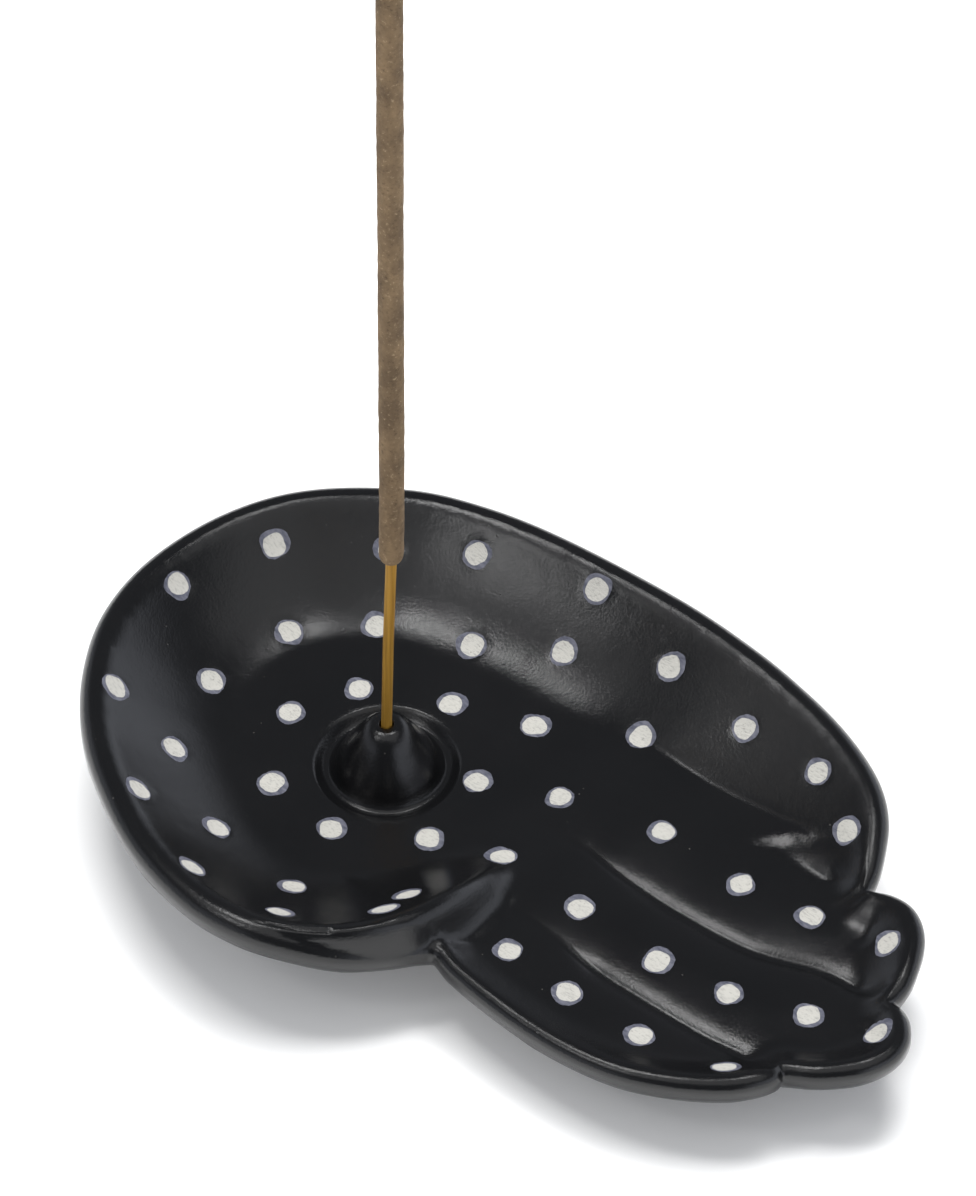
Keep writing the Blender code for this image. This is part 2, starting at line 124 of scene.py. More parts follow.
# --- Dots scraped through the dye -----------------------------------------------------------------
# Round the boss: distance from the hole and direction in degrees.
PALM_DOTS = [
    (12, 22), (13, 87), (13, 144), (15, 183), (15, 231), (13, 275), (14, 330), (23, 20), (20, 55),
    (22, 98), (23, 131), (25, 158), (26, 188), (27, 218), (25, 248), (25, 279), (26, 313),
    (22, 348), (28, 73), (32, 106), (32, 127), (35, 152), (36, 176), (35, 208), (33.2, 237),
    (34, 262), (33, 284), (30, 307), (38, 54), (35.2, 77),
]
# Along each finger: x and y.
FINGER_DOTS = {
    "little": [(24, 22), (36, 28), (48, 27), (56, 22)],
    "ring": [(36, 10), (49, 9), (59, 10), (70, 11)],
    "middle": [(35, -6), (48, -7), (58, -6), (68, -3), (77, -1)],
    "index": [(32, -17), (42, -18), (53, -18), (65, -16.3)],
}
DOT_RADIUS, DOT_CORE = 1.95, 1.5
DOT_DEPTH, CORE_EDGE = 0.09, 0.6  # depth at the middle, and the core edge's share of it
DOT_SEED = 47

# --- Stick ----------------------------------------------------------------------------------------
SPLINT_RADIUS, SPLINT_SIDES, SPLINT_SEED = 0.67, 40, 5
PASTE_RADIUS, PASTE_BORE, PASTE_END = 1.58, 0.86, 0.98  # the last is the radius at its very ends
PASTE_SIDES, PASTE_SEED = 56, 11
END_RINGS = np.array([0.0, 0.06, 0.2, 0.45, 0.8, 1.2, 1.6])  # distances from an end of the paste
END_ROUND = 1.3
# A split bamboo is never quite straight: height, offset towards LEAN_DIRECTION.
STICK_BOW = [
    (0.0, 0.0), (14.0, 0.0), (30.0, 0.38), (46.0, 0.9), (60.0, 1.1), (95.0, 1.3), (143.0, 1.6),
    (240.0, 2.0),
]
LEAN_DIRECTION = (0.8, 0.6)

# --- Fineness of the carved surface ---------------------------------------------------------------
OUTLINE_STEPS = 640
RIM_STEP, RIM_TURN = 8.0, 104.0  # degrees round the rim's top, from the outside
PALM_SPACING, ROW_ROOM = 0.95, 0.42
RIDGE_ROWS = (-1.2, -0.6, 0.0, 0.6, 1.2, 1.8, 2.4, 3.2, 4.0)  # beside the thumb's ridge
GROOVE_ROWS = (-GROOVE_HALF_WIDTH, -0.6, 0.0, 0.6, GROOVE_HALF_WIDTH)
BOSS_STEPS, BOSS_RINGS = 128, 70
UNDER_STEPS = 14

# --- Camera and studio ----------------------------------------------------------------------------
VIEW_AZIMUTH, VIEW_ELEVATION = 37.0, 48.0
LOOK_AT = (-6.4, 29.9, 8.0)
CAMERA_DISTANCE = 976.0
LENS, SENSOR = 225.75, 36.0
FLOOR_HALF, FLOOR_DROP = 6.0, 0.0003  # metres; the floor lies a hair under the dish
LAMP_AIM = (0.02, 0.0, 0.01)
# Soft boxes: name, place in metres (right, away, up), width and height, brightness, seen in gloss.
LAMPS = [
    ("overhead", (0.0, -0.24, 0.95), (1.7, 1.0), 0.62, True),
    ("spot_right", (0.158, 0.157, 0.831), (0.12, 0.12), 13.0, True),
    ("spot_left", (-0.222, 0.070, 0.828), (0.14, 0.14), 15.0, True),
    ("spot_behind", (-0.450, -0.268, 0.682), (0.12, 0.12), 8.0, True),
    ("fill", (0.05, 0.65, 1.8), (1.2, 1.2), 9.5, False),
    ("front", (-0.5, -1.3, 1.0), (1.0, 1.0), 0.4, False),
]
# The room glows a little all over, and more from the sides near the horizon.
ROOM_GLOW, ROOM_COLOUR = 0.16, (0.90, 0.94, 1.04, 1.0)
GLOW_HEIGHT = (0.33, 0.58, 1.0, 0.0)  # direction's z from, to, then the glow's share at each
GLOW_RIGHT = (0.25, 0.6, 0.0, 0.95)  # direction's part to the right from, to, then the glow at each
GLOW_LEFT = (-0.4, -0.75, 0.0, 0.5)


def smoothstep(low, high, value):
    """0 below low, 1 above high, and an S curve between them."""
    t = np.clip((np.asarray(value, float) - low) / (high - low), 0.0, 1.0)
    return t * t * (3 - 2 * t)


def curve_through(points, steps):
    """A smooth curve through the points, cut into equal lengths as seen from above."""
    p = np.array(points, float)
    p = np.vstack([2 * p[0] - p[1], p, 2 * p[-1] - p[-2]])
    fine = []
    for i in range(1, len(p) - 2):
        t = np.linspace(0, 1, 20, endpoint=False)[:, None]
        a, b, c, d = p[i - 1 : i + 3]
        square, cube = 2 * a - 5 * b + 4 * c - d, 3 * b - a - 3 * c + d
        fine.append(0.5 * (2 * b + (c - a) * t + square * t**2 + cube * t**3))
    fine = np.vstack([*fine, p[-2:-1]])
    length = np.r_[0, np.cumsum(np.hypot(*np.diff(fine[:, :2], axis=0).T))]
    at = np.linspace(0, length[-1], steps + 1)
    return np.column_stack([np.interp(at, length, column) for column in fine.T])


def outline_runs(spacing):
    """The outline as one curve from notch to notch for each list: x, y, rim height."""
    runs = []
    for piece in (LITTLE_HEEL_AND_THUMB, INDEX, MIDDLE, RING):
        length = np.hypot(*np.diff(np.array(piece)[:, :2], axis=0).T).sum()
        runs.append(curve_through(piece, max(2, round(length / spacing))))
    return runs


def outline_curve(spacing):
    return np.vstack([run[:-1] for run in outline_runs(spacing)])


def even_outline():
    """The outline in OUTLINE_STEPS equal steps: x, y, rim height."""
    fine = outline_curve(0.25)
    closed = np.vstack([fine, fine[:1]])
    length = np.r_[0, np.cumsum(np.hypot(*np.diff(closed[:, :2], axis=0).T))]
    at = np.linspace(0, length[-1], OUTLINE_STEPS, endpoint=False)
    return np.column_stack([np.interp(at, length, column) for column in closed.T])


def inward_normals(points, eased):
    """Unit vectors into a closed anticlockwise outline, eased over that many steps at its corners."""
    along = np.roll(points[:, :2], -1, axis=0) - np.roll(points[:, :2], 1, axis=0)
    normal = np.column_stack([-along[:, 1], along[:, 0]])
    normal /= np.linalg.norm(normal, axis=1)[:, None]
    for _ in range(eased):
        normal = normal + 0.5 * (np.roll(normal, 1, axis=0) + np.roll(normal, -1, axis=0))
        normal /= np.linalg.norm(normal, axis=1)[:, None]
    return normal


def rim_radius(height):
    return TIP_ROUND + (RIM_ROUND - TIP_ROUND) * smoothstep(ROUND_FROM, ROUND_TO, height)


def nearest_on(line, x, y):
    """Distance to a polyline, its other columns at the nearest point, and True right of it."""
    best = np.full(x.shape, np.inf)
    values = np.zeros((len(x), line.shape[1] - 2))
    right = np.zeros(x.shape, bool)
    for a, b in zip(line, line[1:]):
        dx, dy = b[:2] - a[:2]
        t = np.clip(((x - a[0]) * dx + (y - a[1]) * dy) / (dx * dx + dy * dy + 1e-12), 0, 1)
        ex, ey = x - a[0] - t * dx, y - a[1] - t * dy
        gap = ex * ex + ey * ey
        closer = gap < best
        best[closer] = gap[closer]
        values[closer] = a[2:] + t[closer, None] * (b[2:] - a[2:])
        right[closer] = (dx * ey - dy * ex)[closer] < 0
    return np.sqrt(best), values, right


def wall(gap, rim, base, reach, radius):
    """Height of a wall that falls from a rounded rim to the base, at a distance inside its crest."""
    slope = np.maximum(WALL_CURVE * (rim - base) / reach, 0.0)
    turn = np.arctan(slope)
    start = radius * np.sin(turn)
    shoulder = rim - radius * (1 - np.cos(turn))
    rounded = rim - radius + np.sqrt(np.maximum(radius**2 - np.minimum(gap, start) ** 2, 0))
    fall = base + np.maximum(shoulder - base, 0) * np.clip(1 - (gap - start) / reach, 0, 1) ** WALL_CURVE
    return np.where(gap < start, rounded, fall)


class Palm:
    """Heights of the carved upper face, inside the rim's crest."""

    def __init__(self):
        self.crests = []
        for run in outline_runs(0.8):
            along = np.gradient(run[:, :2], axis=0)
            normal = np.column_stack([-along[:, 1], along[:, 0]])
            normal /= np.linalg.norm(along, axis=1)[:, None]
            radius = rim_radius(run[:, 2])
            reach = TIP_REACH + (WALL_REACH - TIP_REACH) * smoothstep(ROUND_FROM, ROUND_TO, run[:, 2])
            crest = run[:, :2] + normal * radius[:, None]
            self.crests.append(np.column_stack([crest, run[:, 2], reach, radius]))
        x, y = self.crests[0][:, 0], self.crests[0][:, 1]
        self.before_thumb = self.crests[0][: np.argmax((y < 0) & (x > THUMB_FROM))]
        ridge = curve_through(THUMB_RIDGE, 60)
        self.ridge = np.column_stack([ridge, np.linspace(0, 1, len(ridge))])
        self.grooves = []
        for name, points in GROOVES.items():
            soft = SOFT_START[name] * (1 - smoothstep(0, FADE_SHARE, np.linspace(0, 1, 61)))
            self.grooves.append(np.column_stack([curve_through(points, 60), soft]))

    def finger_relief(self, x, y):
        """Height over the palm's floor from the climbing fingers, their crowns and the grooves."""
        near = np.full(x.shape, 99.0)
        cut = np.zeros(x.shape)
        for groove in self.grooves:
            gap, soft, _ = nearest_on(groove, x, y)
            before = np.maximum(groove[0, 0] - x, 0)
            beside = np.where(before > 0, np.abs(y - groove[0, 1]) + 0.35 * before, gap)
            near = np.minimum(near, beside + soft[:, 0])
            cut = np.maximum(cut, np.clip(1 - (gap + soft[:, 0]) / GROOVE_HALF_WIDTH, 0, 1))
        crown = FINGER_CROWN * (1 - np.exp(-near / CROWN_SPREAD)) * smoothstep(CROWN_FROM, CROWN_TO, x)
        return FINGER_RISE * smoothstep(RISE_FROM, RISE_TO, x) + crown - GROOVE_DEPTH * cut

    def height(self, x, y):
        x, y = np.asarray(x, float), np.asarray(y, float)
        base = FLOOR + self.finger_relief(x, y)
        past_thumb = x > np.interp(y, self.ridge[:, 1], self.ridge[:, 0])
        lines = [*self.crests, self.before_thumb]
        walls = []
        for line in lines:
            gap, values, _ = nearest_on(line, x, y)
            walls.append(wall(gap, values[:, 0], base, values[:, 1], values[:, 2]))
        walls[0] = np.where(past_thumb, walls.pop(), walls[0])
        walls.append(self.thumb(x, y, base))
        return np.maximum(base, np.max(walls, axis=0))

    def thumb(self, x, y, base, steep_only=False):
        """The thumb's ridge: a rounded crest, gentle into the bowl and steep towards the fingers."""
        gap, values, steep_side = nearest_on(self.ridge, x, y)
        rise, share = values.T
        foot = FOOT_AT_RIM + (FOOT_AT_END - FOOT_AT_RIM) * share
        crest = FLOOR + rise
        fall = 0.5 + 0.5 * np.cos(np.pi * np.clip(gap / foot, 0, 1))
        steep = base + np.maximum(crest - base, 0) * fall
        if steep_only:
            return np.where(steep_side & (gap < foot), steep, 0)
        gentle = wall(gap, crest, base, 6 + 1.1 * rise, 0.6 + 0.18 * rise)
        return np.where(steep_side, steep, gentle)


# --- Mesh building --------------------------------------------------------------------------------
class Shell:
    """Vertices, faces and material numbers of one closed surface, in millimetres."""

    def __init__(self):
        self.vertices = []
        self.faces = []
        self.materials = []

    def ring(self, points):
        first = len(self.vertices)
        self.vertices += [tuple(p) for p in points]
        return list(range(first, len(self.vertices)))

    def face(self, corners, material=0):
        self.faces.append(tuple(corners))
        self.materials.append(material)

    def join(self, outer, inner):
        for i in range(len(outer)):
            j = (i + 1) % len(outer)
            self.face((outer[i], outer[j], inner[j], inner[i]))

    def build(self, name, materials, body, slot, *nodes):
        mesh = bpy.data.meshes.new(name)
        mesh.from_pydata([tuple(float(c) * MM for c in v) for v in self.vertices], [], self.faces)
        for material in materials:
            mesh.materials.append(material)
        mesh.polygons.foreach_set("material_index", self.materials)
        mesh.shade_smooth()
        piece = bpy.data.objects.new(name, mesh)
        bpy.context.scene.collection.objects.link(piece)
        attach(piece, body)
        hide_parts(*nodes)


def circle(radius, z, count):
    a = np.linspace(0, 2 * np.pi, count, endpoint=False)
    return np.column_stack([radius * np.cos(a), radius * np.sin(a), np.full(count, z)])


def inside_loop(points, loop):
    """Which points lie inside a closed polygon."""
    x, y = points[:, 0], points[:, 1]
    crossings = np.zeros(len(points), int)
    for (ax, ay), (bx, by) in zip(loop, np.roll(loop, -1, axis=0)):
        if ay != by:
            spans = (ay > y) != (by > y)
            crossings += spans & (x < ax + (y - ay) * (bx - ax) / (by - ay))
    return crossings % 2 == 1


def far_from(points, others, room):
    """Which points keep that much room to all the others."""
    keep = np.ones(len(points), bool)
    for start in range(0, len(others), 400):
        near = others[start : start + 400]
        gap = np.hypot(points[:, 0, None] - near[:, 0], points[:, 1, None] - near[:, 1]).min(axis=1)
        keep &= gap > room
    return keep


def hand_cut(x, y):
    """The slight unevenness that a knife and sandpaper leave, in millimetres."""
    broad = np.sin(x / 4.7 + 0.8) * np.sin(y / 5.9 + 0.3) + 0.7 * np.sin((x + 1.7 * y) / 7.3 + 2.0)
    narrow = np.sin(x / 2.3 - y / 3.1) * np.sin(y / 2.7 + 1.1)
    return (0.035 * broad + 0.012 * narrow) * smoothstep(PATCH_RADIUS, PATCH_RADIUS + 4, np.hypot(x, y))


class Dot:
    """One round patch scraped through the dye: a grey rim, and a deeper white core off its centre."""

    def __init__(self, x, y, palm, random):
        self.centre = np.array([x, y])
        steps = np.array([x, x + 0.5, x - 0.5, x, x]), np.array([y, y, y, y + 0.5, y - 0.5])
        _, east, west, north, south = palm.height(*steps)
        slope = np.array([east - west, north - south])
        steepness = np.hypot(*slope)
        self.uphill = slope / steepness if steepness > 1e-3 else np.array([1.0, 0.0])
        self.squeeze = 1 / math.sqrt(1 + steepness**2)
        shift = random.uniform(0.08, 0.3)
        way = random.uniform(0, 2 * math.pi)
        self.random = random
        core_centre = np.array([math.cos(way), math.sin(way)]) * shift
        size = random.uniform(0.94, 1.06)
        core = self.blob(DOT_CORE * size, 0.05, 26) + core_centre
        outer = self.blob(DOT_RADIUS * size, 0.045, 30)
        self.core = self.laid(core)
        self.outer = self.laid(self.clear_of(outer, core, 0.14))
        self.inner = self.laid(self.blob(DOT_CORE * 0.55, 0.1, 9) + core_centre)

    def blob(self, radius, wobble, count):
        a = np.linspace(0, 2 * np.pi, count, endpoint=False)
        r = np.ones(count)
        for harmonic in (2, 3, 4):
            size = wobble * self.random.uniform(0.3, 1.0)
            r += size * np.cos(harmonic * a + self.random.uniform(0, 6.28))
        r += self.random.uniform(-0.6, 0.6, count) * wobble
        return radius * np.column_stack([r * np.cos(a), r * np.sin(a)])

    def clear_of(self, outer, core, room):
        """The outer outline, pushed out wherever the core comes nearer than that."""
        radius = np.hypot(*outer.T)
        angle = np.arctan2(outer[:, 1], outer[:, 0])
        core_angle = np.arctan2(core[:, 1], core[:, 0])
        order = np.argsort(core_angle)
        least = np.interp(angle, core_angle[order], np.hypot(*core[order].T), period=2 * np.pi) + room
        return outer * (np.maximum(radius, least) / radius)[:, None]

    def laid(self, flat):
        """Shortened uphill, so that it is round on the slope it lies on."""
        along = flat @ self.uphill
        return self.centre + flat + np.outer(along * (self.squeeze - 1), self.uphill)


def lay_out_dots(palm):
    random = np.random.default_rng(DOT_SEED)
    places = [(r * math.cos(math.radians(a)), r * math.sin(math.radians(a))) for r, a in PALM_DOTS]
    places += [place for finger in FINGER_DOTS.values() for place in finger]
    return [Dot(x, y, palm, random) for x, y in places]


def feature_rows(palm):
    """Rows of points along the thumb's ridge and the grooves, so that facets meet on them."""
    rows = []
    lines = [(palm.ridge[:, :2], RIDGE_ROWS)]
    lines += [(groove[:, :2], GROOVE_ROWS) for groove in palm.grooves]
    for line, offsets in lines:
        along = np.gradient(line, axis=0)
        side = np.column_stack([along[:, 1], -along[:, 0]]) / np.linalg.norm(along, axis=1)[:, None]
        rows += [line + side * offset for offset in offsets]
    return rows


def fill_palm(shell, palm, dots, outer, inner):
    """The palm's triangles, between the rim's inner ring and the patch of the boss and the moat."""
    loop = np.array([shell.vertices[i][:2] for i in outer])
    patch = np.array([shell.vertices[i][:2] for i in inner])
    flat = np.vstack([loop, patch])
    sunk = np.zeros(len(flat))
    edges = [(i, (i + 1) % len(loop)) for i in range(len(loop))]
    edges += [(len(loop) + i, len(loop) + (i + 1) % len(patch)) for i in range(len(patch))]
    for dot in dots:
        for ring, depth in ((dot.outer, 0.0), (dot.core, CORE_EDGE), (dot.inner, 1.0)):
            if ring is not dot.inner:
                edges += [(len(flat) + i, len(flat) + (i + 1) % len(ring)) for i in range(len(ring))]
            flat = np.vstack([flat, ring])
            sunk = np.r_[sunk, np.full(len(ring), depth * DOT_DEPTH)]
    for row in feature_rows(palm):
        room = inside_loop(row, loop) & far_from(row, flat, ROW_ROOM)
        room &= np.hypot(*row.T) > PATCH_RADIUS + 0.5
        flat = np.vstack([flat, row[room]])
        sunk = np.r_[sunk, np.zeros(room.sum())]
    low, high = loop.min(axis=0), loop.max(axis=0)
    lattice = []
    for row, y in enumerate(np.arange(low[1], high[1], PALM_SPACING * math.sqrt(3) / 2)):
        x = np.arange(low[0] + (row % 2) * PALM_SPACING / 2, high[0], PALM_SPACING)
        lattice.append(np.column_stack([x, np.full(x.size, y)]))
    lattice = np.vstack(lattice)
    lattice = lattice[inside_loop(lattice, loop) & (np.hypot(*lattice.T) > PATCH_RADIUS)]
    lattice = lattice[far_from(lattice, flat, PALM_SPACING * 0.6)]
    for dot in dots:
        lattice = lattice[~inside_loop(lattice, dot.outer)]
    flat = np.vstack([flat, lattice])
    sunk = np.r_[sunk, np.zeros(len(lattice))]

    _, _, triangles, source, _, _ = delaunay_2d_cdt([Vector(p) for p in flat], edges, [], 0, 1e-7)
    fixed = len(outer) + len(inner)
    x, y = flat[fixed:].T
    ids = list(outer) + list(inner)
    ids += shell.ring(np.column_stack([x, y, palm.height(x, y) + hand_cut(x, y) - sunk[fixed:]]))
    corners = np.array([[source[v][0] for v in triangle] for triangle in triangles])
    middles = flat[corners].mean(axis=1)
    corners = corners[inside_loop(middles, loop) & ~inside_loop(middles, patch)]
    middles = flat[corners].mean(axis=1)
    material = np.zeros(len(corners), int)
    for dot in dots:
        near = np.nonzero(np.hypot(*(middles - dot.centre).T) < 3.5)[0]
        material[near[inside_loop(middles[near], dot.outer)]] = 1
        material[near[inside_loop(middles[near], dot.core)]] = 2
    for corner, number in zip(corners, material):
        shell.face([ids[c] for c in corner], int(number))


def under_profile(height, radius, share):
    """Distance in from the outline and height, from the rim's widest line down to the table."""
    turn = math.atan2(1, UNDER_SLOPE)
    level = height - radius
    round_in = UNDER_ROUND * (1 - math.cos(turn))
    round_down = UNDER_ROUND * math.sin(turn)
    if share <= UNDER_KNEE:
        a = share / UNDER_KNEE * turn
        return np.full(level.shape, UNDER_ROUND * (1 - math.cos(a))), level - UNDER_ROUND * math.sin(a)
    b = (share - UNDER_KNEE) / (1 - UNDER_KNEE)
    return round_in + (level - round_down) / UNDER_SLOPE * b, (level - round_down) * (1 - b)


def points_inside(start, outline, distances):
    """On lines from the start points to the hand's middle line, the points that far from the outline."""
    a, b = np.array(MIDDLE_LINE)
    share = np.clip((start - a) @ (b - a) / ((b - a) @ (b - a)), 0, 1)
    aim = a + share[:, None] * (b - a)
    steps = np.linspace(0, 1, 90)
    found = np.zeros((len(distances), len(start), 2))
    for i, (p, q) in enumerate(zip(start, aim)):
        line = p + (q - p) * steps[:, None]
        gap = np.hypot(line[:, 0, None] - outline[:, 0], line[:, 1, None] - outline[:, 1]).min(axis=1)
        gap = np.maximum.accumulate(gap) + steps * 1e-6
        for k, distance in enumerate(distances):
            found[k, i] = p + (q - p) * np.interp(distance[i], gap, steps)
    return found


def make_dish(stone, rim_material, core_material):
    """The whole carved hand: rim, palm with its dots, boss, moat, hole and underside."""
    palm = Palm()
    outline = even_outline()
    xy, rim = outline[:, :2], outline[:, 2]
    radius = rim_radius(rim)
    normal = inward_normals(outline, 12)
    shell = Shell()
    rings = []
    for degrees in np.arange(0.0, RIM_TURN + 0.1, RIM_STEP):
        a = math.radians(degrees)
        flat = xy + normal * (radius * (1 - math.cos(a)))[:, None]
        z = rim - radius + radius * math.sin(a) if degrees <= 90 else palm.height(*flat.T)
        if degrees > 0:
            base = FLOOR + palm.finger_relief(*flat.T)
            z = np.maximum(z, palm.thumb(*flat.T, base, steep_only=True))
        z = z + hand_cut(*flat.T) * smoothstep(0, 90, degrees)
        rings.append(shell.ring(np.column_stack([flat, z])))
    for outer, inner in zip(rings, rings[1:]):
        shell.join(outer, inner)

    profile = curve_through(BOSS_AND_MOAT[::-1], BOSS_RINGS)
    turned = [shell.ring(circle(r, z, BOSS_STEPS)) for r, z in profile]
    turned += [shell.ring(circle(HOLE_RADIUS, z, BOSS_STEPS)) for z in (14.6, 13.0, HOLE_BOTTOM)]
    fill_palm(shell, palm, lay_out_dots(palm), rings[-1], turned[0])
    for outer, inner in zip(turned, turned[1:]):
        shell.join(outer, inner)
    shell.face(turned[-1])

    profile = [under_profile(rim, radius, (k + 1) / UNDER_STEPS) for k in range(UNDER_STEPS)]
    below = points_inside(xy, outline_curve(0.5), [inward for inward, _ in profile])
    last = rings[0]
    for flat, (_, z) in zip(below, profile):
        ring = shell.ring(np.column_stack([flat, z]))
        shell.join(ring, last)
        last = ring
    shell.face(last[::-1])
    materials = [stone, rim_material, core_material]
    shell.build("carved_hand", materials, "dish", "dyed_soapstone", "hand_dish")


def stick_centre(z):
    offset = np.interp(z, *np.array(STICK_BOW).T)
    return offset * LEAN_DIRECTION[0], offset * LEAN_DIRECTION[1]


def swept(shell, radii, heights):
    """Rings of a rod along the stick's bow; radii has a row of radii for each height."""
    rings = []
    for row, z in zip(radii, heights):
        cx, cy = stick_centre(z)
        a = np.linspace(0, 2 * np.pi, len(row), endpoint=False)
        points = np.column_stack([cx + row * np.cos(a), cy + row * np.sin(a), np.full(a.size, z)])
        rings.append(shell.ring(points))
    return rings


def make_splint(material):
    """A split bamboo rod: nearly round, with flats where it was drawn through the die, and fibres."""
    low, high = (corner[2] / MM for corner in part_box("bamboo_splint"))
    random = np.random.default_rng(SPLINT_SEED)
    a = np.linspace(0, 2 * np.pi, SPLINT_SIDES, endpoint=False)
    fibres = random.uniform(-0.018, 0.018, SPLINT_SIDES)
    heights = np.linspace(low, high, 260)
    radii = []
    for z in heights:
        r = SPLINT_RADIUS * (1 - 0.035 * np.cos(4 * a + z / 60) + fibres + 0.012 * np.sin(z / 7 + a))
        foot = smoothstep(0, 0.35, z - low + 0.12)
        radii.append(r * (0.72 + 0.28 * foot))
    shell = Shell()
    rings = swept(shell, radii, heights)
    for lower, upper in zip(rings, rings[1:]):
        shell.join(lower, upper)
    shell.face(rings[0][::-1])
    shell.face(rings[-1])
    shell.build("bamboo_core", [material], "incense_stick", "bamboo", "bamboo_splint")


def make_paste(material):
    """The rolled coat: grainy, a little uneven in thickness, and rounded over at both ends."""
    low, high = (corner[2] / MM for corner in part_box("incense_paste"))
    random = np.random.default_rng(PASTE_SEED)
    between = np.arange(low + 2.0, high - 1.8, 0.42)
    heights = np.r_[low + END_RINGS, between, high - END_RINGS[::-1]]
    soft = random.normal(0, 1, (len(heights), PASTE_SIDES))
    for _ in range(2):
        soft = 0.5 * soft + 0.25 * (np.roll(soft, 1, axis=1) + np.roll(soft, -1, axis=1))
        soft[1:-1] = 0.5 * soft[1:-1] + 0.25 * (soft[:-2] + soft[2:])
    a = np.linspace(0, 2 * np.pi, PASTE_SIDES, endpoint=False)
    radii = []
    for row, z in zip(soft, heights):
        end = min(z - low, high - z)
        roundness = math.sqrt(max(0.0, 1 - (1 - min(end / END_ROUND, 1.0)) ** 2))
        r = PASTE_RADIUS * (1 + 0.012 * math.sin(z / 9) + 0.008 * math.sin(z / 3.7 + 1)) + 0.055 * row
        r += 0.02 * np.cos(2 * a + z / 25)
        radii.append(PASTE_END + (r - PASTE_END) * roundness)
    shell = Shell()
    outside = swept(shell, radii, heights)
    bore = swept(shell, [np.full(PASTE_SIDES, PASTE_BORE)] * 6, np.linspace(high, low, 6))
    rings = outside + bore
    for lower, upper in zip(rings, rings[1:] + rings[:1]):
        shell.join(lower, upper)
    shell.build("rolled_paste", [material], "incense_stick", "masala_paste", "incense_paste")


# --- Materials ------------------------------------------------------------------------------------
class Surface:
    """A Principled material with short ways to add the nodes that drive it."""

    def __init__(self, name, **values):
        self.material = bpy.data.materials.new(name)
        self.material.use_nodes = True
        self.tree = self.material.node_tree
        self.shader = self.tree.nodes["Principled BSDF"]
        for name, value in values.items():
            socket = name.replace("_", " ").title().replace("Ior", "IOR")
            self.shader.inputs[socket].default_value = value
        self.where = self.tree.nodes.new("ShaderNodeTexCoord").outputs["Object"]

    def node(self, kind, inputs=(), **settings):
        made = self.tree.nodes.new(kind)
        for key, value in settings.items():
            setattr(made, key, value)
        for key, value in dict(inputs).items():
            if isinstance(value, bpy.types.NodeSocket):
                self.tree.links.new(value, made.inputs[key])
            else:
                made.inputs[key].default_value = value
        return made

    def stretched(self, scale, turn=(0, 0, 0)):
        made = self.node("ShaderNodeMapping", {"Vector": self.where, "Scale": scale, "Rotation": turn})
        return made.outputs["Vector"]

    def noise(self, scale, detail=2.0, rough=0.5, where=None):
        inputs = {"Vector": where or self.where, "Scale": scale, "Detail": detail, "Roughness": rough}
        return self.node("ShaderNodeTexNoise", inputs).outputs["Fac"]

    def cells(self, scale):
        made = self.node("ShaderNodeTexVoronoi", {"Vector": self.where, "Scale": scale})
        return made.outputs["Distance"]

    def between(self, value, low, high, to_low=0.0, to_high=1.0):
        inputs = {"Value": value, "From Min": low, "From Max": high, "To Min": to_low, "To Max": to_high}
        return self.node("ShaderNodeMapRange", inputs).outputs["Result"]

    def times(self, a, b):
        return self.node("ShaderNodeMath", {0: a, 1: b}, operation="MULTIPLY").outputs[0]

    def mix(self, share, a, b):
        made = self.node("ShaderNodeMix", {"Factor": share}, data_type="RGBA")
        for socket, value in ((made.inputs[6], a), (made.inputs[7], b)):
            if isinstance(value, bpy.types.NodeSocket):
                self.tree.links.new(value, socket)
            else:
                socket.default_value = (*value, 1.0)
        return made.outputs[2]

    def drive(self, **sockets):
        for name, value in sockets.items():
            self.tree.links.new(value, self.shader.inputs[name.replace("_", " ").title()])

    def bump(self, height, distance, strength=1.0, over=None):
        inputs = {"Height": height, "Distance": distance, "Strength": strength}
        if over is not None:
            inputs["Normal"] = over
        return self.node("ShaderNodeBump", inputs).outputs["Normal"]


def dyed_soapstone():
    """Black dye and wax rubbed into soft stone: near-black, satin and finely pitted."""
    s = Surface("dyed_soapstone", ior=1.5, specular_ior_level=0.5)
    patches = s.noise(90, 3)
    grain = s.noise(3400, 3, 0.6)
    pits = s.between(s.cells(700), 0.10, 0.03)
    rare = s.between(s.noise(260, 1), 0.60, 0.68)
    specks = s.times(pits, rare)
    colour = s.mix(patches, (0.0034, 0.0036, 0.0040), (0.0056, 0.0056, 0.0060))
    colour = s.mix(s.times(specks, 0.5), colour, (0.12, 0.115, 0.10))
    roughness = s.between(patches, 0.3, 0.7, 0.15, 0.21)
    normal = s.bump(grain, 0.00003)
    normal = s.bump(s.noise(420, 3), 0.00003, over=normal)
    normal = s.bump(specks, 0.00003, 0.6, over=normal)
    s.drive(base_color=colour, roughness=roughness, normal=normal)
    return s.material


def scraped_rim():
    """Where the tool only thinned the dye: blue-grey, matt."""
    s = Surface("scraped_rim", ior=1.45)
    streaks = s.noise(900, 3, 0.6, s.stretched((1.0, 2.6, 1.0), (0, 0, 0.7)))
    colour = s.mix(s.between(streaks, 0.32, 0.72), (0.05, 0.053, 0.075), (0.15, 0.153, 0.185))
    roughness = s.between(streaks, 0.2, 0.8, 0.5, 0.7)
    s.drive(base_color=colour, roughness=roughness, normal=s.bump(streaks, 0.00003))
    return s.material


